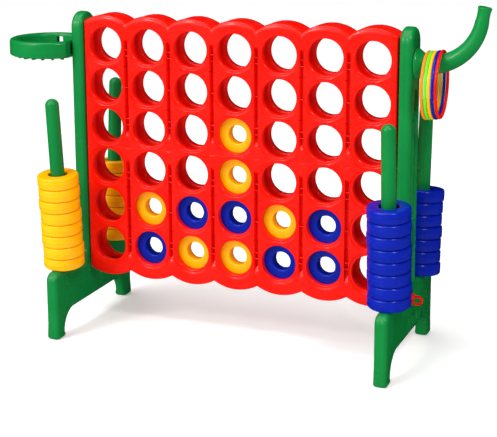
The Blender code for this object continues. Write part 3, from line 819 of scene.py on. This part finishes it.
def inset_outline(points, distance):
    """Move a closed outline inward along its corners' bisectors, half as far at the soles."""
    count = len(points)
    moved = []
    for k in range(count):
        before, here, after = points[k - 1], points[k], points[(k + 1) % count]
        a = Vector((here[0] - before[0], here[1] - before[1])).normalized()
        b = Vector((after[0] - here[0], after[1] - here[1])).normalized()
        normal = Vector((a.y + b.y, -a.x - b.x)).normalized()
        move = distance / max(0.5, normal.dot(Vector((a.y, -a.x))))
        if here[1] < SOLE_BAND:
            move *= 0.5
        moved.append((here[0] + normal.x * move, here[1] + normal.y * move))
    return moved


def fill_loop(bm, verts, points):
    """Fill a flat loop with triangles between its own points."""
    count = len(points)
    edges = [(k, (k + 1) % count) for k in range(count)]
    filled = delaunay_2d_cdt([Vector(p) for p in points], edges, [], 1, 1e-7)
    for triangle in filled[2]:
        bm.faces.new([verts[filled[3][k][0]] for k in triangle])


def frame_shell(end):
    """A frame's rounded shell with a faint parting line round its middle."""
    edge = []
    for a in EDGE_ANGLES:
        inset = EDGE_ROUND * (1 - math.cos(math.radians(a)))
        depth = EDGE_ROUND * (1 - math.sin(math.radians(a)))
        edge.append((inset, depth))
    middle = (FRAME_INNER + FRAME_OUTER) / 2
    rings = [(inset, FRAME_INNER + depth) for inset, depth in edge]
    rings += [(0.0, middle - PARTING_HALF), (PARTING_DEPTH, middle), (0.0, middle + PARTING_HALF)]
    rings += [(inset, FRAME_OUTER - depth) for inset, depth in reversed(edge)]
    outline = frame_outline()
    drawn = [inset_outline(outline, inset) for inset, x in rings]
    bm = bmesh.new()
    rows = loft(bm, [[Vector((end * x, y, z - GRID_Z)) for y, z in points]
                     for points, (inset, x) in zip(drawn, rings)])
    fill_loop(bm, rows[0], drawn[0])
    fill_loop(bm, rows[-1], drawn[-1])
    bm.transform(Matrix.Translation(GRID))
    return bm


def bar_cutter(low, high, radius):
    bm = bmesh.new()
    rounded_bar(bm, low, high, radius)
    bm.transform(Matrix.Translation(GRID))
    return bm


def flute_cutter(end, y, high, low):
    """A tall recess with sloping walls and round ends, cut into a frame's outer face."""
    loops = []
    for wider, past in FLUTE_WALL:
        half = FLUTE_HALF + wider
        ring = arc((y, high - FLUTE_HALF), half, 0, 180, FLUTE_END_STEPS)
        ring += arc((y, low + FLUTE_HALF), half, 180, 360, FLUTE_END_STEPS)
        loops.append([Vector((end * (FRAME_OUTER + past), across, up)) for across, up in ring])
    bm = bmesh.new()
    rows = loft(bm, loops)
    bm.faces.new(rows[0])
    bm.faces.new(rows[-1])
    bm.transform(Matrix.Translation(GRID))
    return bm


def build_frame(hand):
    """A blow-moulded side frame: rounded shell, tab slots, flutes and the slider's slit."""
    end = 1 if hand == "right" else -1
    node = hand + "_frame"
    piece = add_mesh(node + "_shell", frame_shell(end), "green", "game", node, sharp=35)
    x_low, x_high = sorted((end * (FRAME_INNER - CUT_PAST), end * (FRAME_OUTER + CUT_PAST)))
    cutters = []
    for z in (TAB_SLOT_CENTRE, -TAB_SLOT_CENTRE):
        cutters.append(bar_cutter((x_low, -TAB_SLOT_HALF_DEPTH, z - TAB_SLOT_HALF),
                                  (x_high, TAB_SLOT_HALF_DEPTH, z + TAB_SLOT_HALF),
                                  TAB_SLOT_ROUND))
    for y in (-FLUTE_SPACING / 2, FLUTE_SPACING / 2):
        for high, low in FLUTE_SPANS:
            cutters.append(flute_cutter(end, y, high, low))
    if hand == "right":
        cutters.append(bar_cutter((FRAME_INNER - SLIT_PAST, -SLIT_HALF_DEPTH,
                                   SLIDER_BOTTOM - SLIT_GAP),
                                  (FRAME_OUTER + SLIT_PAST, SLIT_HALF_DEPTH,
                                   SLIDER_TOP + SLIT_GAP), SLIT_ROUND))
    carve(piece, cutters)


def rounded_rectangle(half_width, half_height, corner):
    """Points round a rectangle with round corners, in a plane."""
    points = []
    for turn, (across, up) in enumerate(((1, 1), (-1, 1), (-1, -1), (1, -1))):
        centre = (across * (half_width - corner), up * (half_height - corner))
        points += arc(centre, corner, turn * 90, turn * 90 + 90, 5)
    return points


def build_badge():
    """A blank raised plate low on the right frame, with a border and plain hatching."""
    loops = []
    for inset, lift in BADGE_STEPS:
        ring = rounded_rectangle(BADGE_HALF_WIDTH - inset, BADGE_HALF_HEIGHT - inset,
                                 BADGE_CORNER - inset * 0.8)
        loops.append([Vector((FRAME_OUTER + lift, y + BADGE_SLANT * z / BADGE_HALF_HEIGHT, z))
                      for y, z in ring])
    bm = bmesh.new()
    rows = loft(bm, loops)
    bm.faces.new(rows[-1])
    for k in range(-HATCH_SIDE_COUNT, HATCH_SIDE_COUNT + 1):
        y = k * HATCH_SPACING
        rounded_bar(bm, (FRAME_OUTER + 0.0002, y - HATCH_HALF_WIDTH, -HATCH_HALF_HEIGHT),
                    (FRAME_OUTER + 0.0020, y + HATCH_HALF_WIDTH, HATCH_HALF_HEIGHT), 0.0008)
    bm.transform(Matrix.Translation(GRID + BADGE_PLACE))
    add_mesh("right_frame_badge", bm, "green", "game", None, sharp=45)


# ---------------------------------------------------------------- slider

RAIL_NEAR = 0.0230
RAIL_FAR = 0.0329
WEB_HALF = 0.005
WEB_REACH = 0.026
TONGUE_HALF = 0.0219
TONGUE_PAST = 0.0088        # how far the tongue comes out of the frame
SLIDER_INSET = 0.0001
PULL_START = 0.003
PULL_REACH = 0.672
PULL_CENTRE = -0.459
PULL_RADIUS = 0.017
PULL_WALL = 0.004           # from the loop's outside to the middle of its bar
PULL_BAR = (0.0039, 0.0060)
PULL_SQUARENESS = 0.6
PULL_SEGMENTS = 16
NECK_LENGTH = 0.008
NECK_HALF = 0.0078


def signed_power(value, power):
    return math.copysign(abs(value) ** power, value)


def pull_sections():
    """The finger pull's closed loop of squarish sections."""
    left = FRAME_OUTER + PULL_START
    bend = PULL_RADIUS - PULL_WALL
    path = [(left + PULL_WALL, PULL_CENTRE - bend)]
    path += arc((PULL_REACH - PULL_RADIUS, PULL_CENTRE), bend, -90, 90, 14)
    path += [(left + PULL_WALL, PULL_CENTRE + bend)]
    sections = []
    for k, (x, z) in enumerate(path):
        before, after = path[k - 1], path[(k + 1) % len(path)]
        way = Vector((after[0] - before[0], after[1] - before[1])).normalized()
        across = Vector((way.y, 0, -way.x))
        ring = []
        for j in range(PULL_SEGMENTS):
            turn = 2 * math.pi * j / PULL_SEGMENTS
            u = PULL_BAR[0] * signed_power(math.cos(turn), PULL_SQUARENESS)
            v = PULL_BAR[1] * signed_power(math.sin(turn), PULL_SQUARENESS)
            ring.append(Vector((x, 0, z)) + across * u + Vector((0, v, 0)))
        sections.append(ring)
    return sections


def build_slider():
    """The ladder strip and the finger pull at its end."""
    first = -(COLUMNS - 1) / 2 * COLUMN_PITCH
    top = SLIDER_TOP - SLIDER_INSET
    bm = bmesh.new()
    for side in (-1, 1):
        y_low, y_high = sorted((side * RAIL_NEAR, side * RAIL_FAR))
        rounded_bar(bm, (first - WEB_HALF, y_low, SLIDER_BOTTOM),
                    (-first + WEB_HALF, y_high, SLIDER_TOP), 0.0012)
    for column in range(COLUMNS):
        x = first + column * COLUMN_PITCH
        rounded_bar(bm, (x - WEB_HALF, -WEB_REACH, SLIDER_BOTTOM + 2 * SLIDER_INSET),
                    (x + WEB_HALF, WEB_REACH, top), 0.0016)
    rounded_bar(bm, (-first, -TONGUE_HALF, SLIDER_BOTTOM + SLIDER_INSET),
                (FRAME_OUTER + TONGUE_PAST, TONGUE_HALF, top), 0.0014)
    left = FRAME_OUTER + PULL_START
    rounded_bar(bm, (left, -NECK_HALF, PULL_CENTRE),
                (left + NECK_LENGTH, NECK_HALF, SLIDER_TOP - 0.001), 0.0018)
    loft(bm, pull_sections(), close=True)
    bm.transform(Matrix.Translation(GRID))
    add_mesh("release_slider_strip", bm, "red", "release_slider", "release_slider", sharp=45)


# ---------------------------------------------------------------- hoop

HOOP_RADIUS = 0.147
HOOP_WALL = 0.035
HOOP_INNER = HOOP_RADIUS - HOOP_WALL
HOOP_FOOT_ROUND = 0.006
HOOP_RIM_ROUND = 0.011
HOOP_SEGMENTS = 128
HOOP_SLOT_HALF = 0.012
HOOP_SLOT_SPAN = (0.020, 0.047)
HOOK_COUNT = 22
HOOK_TURN = 0.14
HOOK_CIRCLE = HOOP_INNER + 0.012
HOOK_DROP = 0.0070
HOOK_HALF = 0.0050
BRACKET_DEPTH = 0.022
BRACKET_HALF_WIDTH = 0.062
SPIGOT_HALF = 0.0165
SPIGOT_LENGTH = 0.036


def hoop_profile(bottom, top):
    """Radii and heights round the band's section, with a rolled rim on top."""
    middle = (bottom + top) / 2
    profile = [(HOOP_INNER + 0.004, bottom + 0.0005)]
    profile += arc((HOOP_RADIUS - HOOP_FOOT_ROUND, bottom + HOOP_FOOT_ROUND), HOOP_FOOT_ROUND,
                   -90, 0, 4)
    profile += [(HOOP_RADIUS, middle)]
    profile += arc((HOOP_RADIUS - HOOP_RIM_ROUND, top - HOOP_RIM_ROUND), HOOP_RIM_ROUND, 0, 90, 6)
    profile += [(HOOP_RADIUS - HOOP_WALL / 2, top)]
    profile += arc((HOOP_INNER + HOOP_RIM_ROUND, top - HOOP_RIM_ROUND), HOOP_RIM_ROUND,
                   90, 180, 6)
    profile += [(HOOP_INNER + 0.0006, middle), (HOOP_INNER, bottom + 0.004)]
    return profile


def build_band(centre, bottom, top, face):
    """The band, cut off at the frame, with a slot through its wall."""
    bm = turned(hoop_profile(bottom, top), HOOP_SEGMENTS, close=True)
    bm.transform(Matrix.Translation(centre))
    band = add_mesh("hoop_band", bm, "green", "game", "hoop", sharp=40)
    trim = bmesh.new()
    rounded_bar(trim, (face, -0.3, bottom - 0.1), (face + 0.2, 0.3, top + 0.1), 0.001)
    slot = bmesh.new()
    slot_low, slot_high = HOOP_SLOT_SPAN
    rounded_bar(slot, (0.05, -HOOP_SLOT_HALF, bottom + slot_low),
                (0.2, HOOP_SLOT_HALF, bottom + slot_high), 0.003)
    slot.transform(Matrix.Translation(centre) @ Matrix.Rotation(HOOP_SLOT_TURN, 4, "Z"))
    carve(band, [trim, slot])


def hook_mesh(bottom):
    """One net hook: a lug under the band with a toe that points to the hoop's middle."""
    lug = bmesh.new()
    rounded_bar(lug, (-0.006, -HOOK_HALF, bottom - HOOK_DROP), (0.006, HOOK_HALF, bottom + 0.004),
                0.0022)
    rounded_bar(lug, (-0.011, -HOOK_HALF, bottom - HOOK_DROP),
                (-0.003, HOOK_HALF, bottom - 0.0025), 0.0016)
    return lug


def build_hooks(centre, bottom, face):
    """The row of net hooks under the band, except where the band meets the frame."""
    hooks = bmesh.new()
    for k in range(HOOK_COUNT):
        turn = 2 * math.pi * k / HOOK_COUNT + HOOK_TURN
        x = centre.x + HOOK_CIRCLE * math.cos(turn)
        if x > face - 0.02:
            continue
        lug = hook_mesh(bottom)
        lug.transform(Matrix.Translation((x, HOOK_CIRCLE * math.sin(turn), 0))
                      @ Matrix.Rotation(turn, 4, "Z"))
        scrap = bpy.data.meshes.new("lug")
        lug.to_mesh(scrap)
        lug.free()
        hooks.from_mesh(scrap)
        bpy.data.meshes.remove(scrap)
    add_mesh("hoop_net_hooks", hooks, "green", "game", None, sharp=45)


def build_hoop():
    """The band with its rolled rim and slot, the hooks and the bracket to the frame."""
    low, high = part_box("hoop")
    bottom, top = low[2], high[2]
    centre = Vector((low[0] + HOOP_RADIUS, 0, 0))
    face = GRID_X - FRAME_OUTER - FIT_GAP
    build_band(centre, bottom, top, face)
    build_hooks(centre, bottom, face)
    middle = (bottom + top) / 2
    bracket = bmesh.new()
    rounded_bar(bracket, (face - BRACKET_DEPTH, -BRACKET_HALF_WIDTH, bottom + 0.006),
                (face, BRACKET_HALF_WIDTH, top - 0.004), 0.005)
    rounded_bar(bracket, (face, -SPIGOT_HALF, middle - SPIGOT_HALF),
                (face + SPIGOT_LENGTH, SPIGOT_HALF, middle + SPIGOT_HALF), 0.004)
    add_mesh("hoop_bracket", bracket, "green", "game", None, sharp=45)


# ---------------------------------------------------------------- toss arm

ARM_HEIGHT = 0.356          # the level run's axis, from the seam
ARM_BEND_START = 0.672
ARM_ROOT_RADIUS = 0.0325
ARM_NARROWING = 0.0115
ARM_LIP_RUN = 0.054
ARM_BEND_STEPS = 30
ARM_SEGMENTS = 64
PLUG_AND_FLANGE = (         # distance from the frame's face, and radius
    (-0.036, 0.0150), (-0.034, 0.0170), (0.0, 0.0170), (0.0, 0.0515), (0.0016, 0.0531),
    (0.0050, 0.0531))
CONE_STEPS = 8
CONE_START = 0.0065
CONE_LENGTH = 0.0300
CONE_END_RADIUS = 0.0335
CONE_FLARE = 0.0190
CONE_CURVE = 1.35
ARM_LIP = (                 # distance past the bend's end, and radius, over the lip into the bore
    (0.020, 0.0212), (0.036, 0.0210), (0.042, 0.0216), (0.047, 0.0228), (0.0505, 0.0230),
    (0.0530, 0.0224), (0.0540, 0.0208), (0.0535, 0.0180), (0.0500, 0.0170), (0.0300, 0.0168),
    (0.0295, 0.0020))


def arm_radius(along):
    """Radius of the bend at a length along it."""
    return ARM_ROOT_RADIUS - ARM_NARROWING * along / (ARM_BEND_RADIUS * ARM_SWEEP + ARM_LIP_RUN)


def arm_sections():
    """Sections along the arm as x, z, slope and radius."""
    root = FRAME_OUTER + FIT_GAP
    sections = [(root + run, ARM_HEIGHT, 0.0, radius) for run, radius in PLUG_AND_FLANGE]
    for k in range(1, CONE_STEPS + 1):
        t = k / CONE_STEPS
        flare = CONE_FLARE * (1 - t) ** CONE_CURVE
        sections.append((root + CONE_START + CONE_LENGTH * t, ARM_HEIGHT, 0.0,
                         CONE_END_RADIUS + flare))
    for k in range(ARM_BEND_STEPS + 1):
        slope = ARM_SWEEP * k / ARM_BEND_STEPS
        sections.append((ARM_BEND_START + ARM_BEND_RADIUS * math.sin(slope),
                         ARM_HEIGHT + ARM_BEND_RADIUS * (1 - math.cos(slope)),
                         slope, arm_radius(ARM_BEND_RADIUS * slope)))
    end_x, end_z = sections[-1][:2]
    for run, radius in ARM_LIP:
        sections.append((end_x + run * math.cos(ARM_SWEEP), end_z + run * math.sin(ARM_SWEEP),
                         ARM_SWEEP, radius))
    return sections


def build_arm():
    """The upturned toss arm: domed flange, tapering bend and a rolled lip."""
    loops = []
    for x, z, slope, radius in arm_sections():
        up = Vector((-math.sin(slope), 0, math.cos(slope)))
        ring = circle(radius, 0, ARM_SEGMENTS)
        loops.append([Vector((x, 0, z)) + up * point.x + Vector((0, point.y, 0))
                      for point in ring])
    bm = bmesh.new()
    rows = loft(bm, loops)
    bm.faces.new(rows[0])
    bm.faces.new(rows[-1])
    bm.transform(Matrix.Translation(GRID))
    add_mesh("toss_arm_horn", bm, "green", "game", "toss_arm", sharp=40)


# ---------------------------------------------------------------- stage

FLOOR_HALF = 60.0
FLOOR_DROP = 0.0005
FLOOR_ROUGHNESS = 0.30
FLOOR_SPECULAR = 0.30
FLOOR_GLOW = 0.24
FLOOR_DARK = (0.895, 0.89, 0.885)
FLOOR_BRIGHT = (0.915, 0.912, 0.905)
WHITE = (1.0, 1.0, 1.0, 1.0)
SKY_STRENGTH = 0.34
SUNS = {                    # direction towards the lamp, strength, spread in degrees
    "top": ((-0.20, -0.20, 0.96), 2.0, 50),
    "key": ((-0.50, -0.72, 0.48), 1.6, 60),
}
SOFTBOXES = {               # place, side and power
    "spark_right": ((2.9, -2.6, 4.4), 0.9, 120),
    "spark_left": ((-2.6, -4.4, 4.0), 0.9, 100),
}


def floor_material():
    """A pale, faintly clouded floor that glows a little, so it stays near white."""
    material = bpy.data.materials.new("studio_floor")
    material.use_nodes = True
    tree = material.node_tree
    shader = tree.nodes["Principled BSDF"]
    shader.inputs["Roughness"].default_value = FLOOR_ROUGHNESS
    shader.inputs["Specular IOR Level"].default_value = FLOOR_SPECULAR
    shader.inputs["Emission Color"].default_value = WHITE
    shader.inputs["Emission Strength"].default_value = FLOOR_GLOW
    place = add_node(tree, "ShaderNodeTexCoord")
    cloud = noise(tree, place, 1.5, 3.0)
    tone = ramp(tree, 0.3, 0.7, FLOOR_DARK, FLOOR_BRIGHT)
    wire(tree, cloud, "Fac", tone, "Fac")
    tree.links.new(tone.outputs["Color"], shader.inputs["Base Color"])
    return material


def build_floor():
    """A flat floor, kept out of the plastics' reflections so that their colours stay deep."""
    corners = [(x * FLOOR_HALF, y * FLOOR_HALF, 0) for x, y in ((-1, -1), (1, -1), (1, 1), (-1, 1))]
    mesh = bpy.data.meshes.new("studio_floor")
    mesh.from_pydata(corners, [], [(0, 1, 2, 3)])
    mesh.materials.append(floor_material())
    floor = bpy.data.objects.new("studio_floor", mesh)
    bpy.context.collection.objects.link(floor)
    floor.location.z = -FLOOR_DROP
    floor.visible_glossy = False


def add_lamp(name, light):
    lamp = bpy.data.objects.new(name, light)
    bpy.context.collection.objects.link(lamp)
    return lamp


def add_softbox(name, place, side, power):
    """A square lamp that faces the middle of the board."""
    light = bpy.data.lights.new(name, "AREA")
    light.shape = "SQUARE"
    light.size = side
    light.energy = power
    lamp = add_lamp(name, light)
    lamp.location = place
    aim = Vector((GRID_X, 0, GRID_Z))
    lamp.rotation_euler = (aim - Vector(place)).to_track_quat("-Z", "Y").to_euler()


def add_sun(name, toward, strength, spread):
    light = bpy.data.lights.new(name, "SUN")
    light.energy = strength
    light.angle = math.radians(spread)
    lamp = add_lamp(name, light)
    lamp.rotation_euler = Vector(toward).to_track_quat("Z", "Y").to_euler()


def build_lights():
    """A white sky kept out of reflections, two soft suns and two softboxes for highlights."""
    world = bpy.data.worlds.new("studio")
    bpy.context.scene.world = world
    world.use_nodes = True
    sky = world.node_tree.nodes["Background"]
    sky.inputs["Color"].default_value = WHITE
    sky.inputs["Strength"].default_value = SKY_STRENGTH
    world.cycles_visibility.glossy = False
    for name, (toward, strength, spread) in SUNS.items():
        add_sun(name, toward, strength, spread)
    for name, (place, side, power) in SOFTBOXES.items():
        add_softbox(name, place, side, power)


def build_camera():
    data = bpy.data.cameras.new("camera")
    data.sensor_width = CAMERA_SENSOR
    data.lens = CAMERA_LENS
    data.shift_y = CAMERA_SHIFT
    data.clip_end = CAMERA_REACH
    camera = bpy.data.objects.new("camera", data)
    bpy.context.collection.objects.link(camera)
    camera.location = GRID + Vector(CAMERA_PLACE)
    azimuth = math.radians(CAMERA_AZIMUTH)
    elevation = math.radians(CAMERA_ELEVATION)
    back = Vector((math.sin(azimuth) * math.cos(elevation),
                   -math.cos(azimuth) * math.cos(elevation), math.sin(elevation)))
    turn = (-back).to_track_quat("-Z", "Y").to_matrix().to_4x4()
    camera.rotation_euler = (turn @ Matrix.Rotation(math.radians(CAMERA_ROLL), 4, "Z")).to_euler()
    bpy.context.scene.camera = camera


build_camera()
build_lights()
build_floor()
build_board()
build_frame("left")
build_frame("right")
build_badge()
build_posts()
build_discs()
build_slider()
build_hoop()
build_arm()
build_toss_rings()
bpy.context.scene.view_settings.view_transform = "Standard"
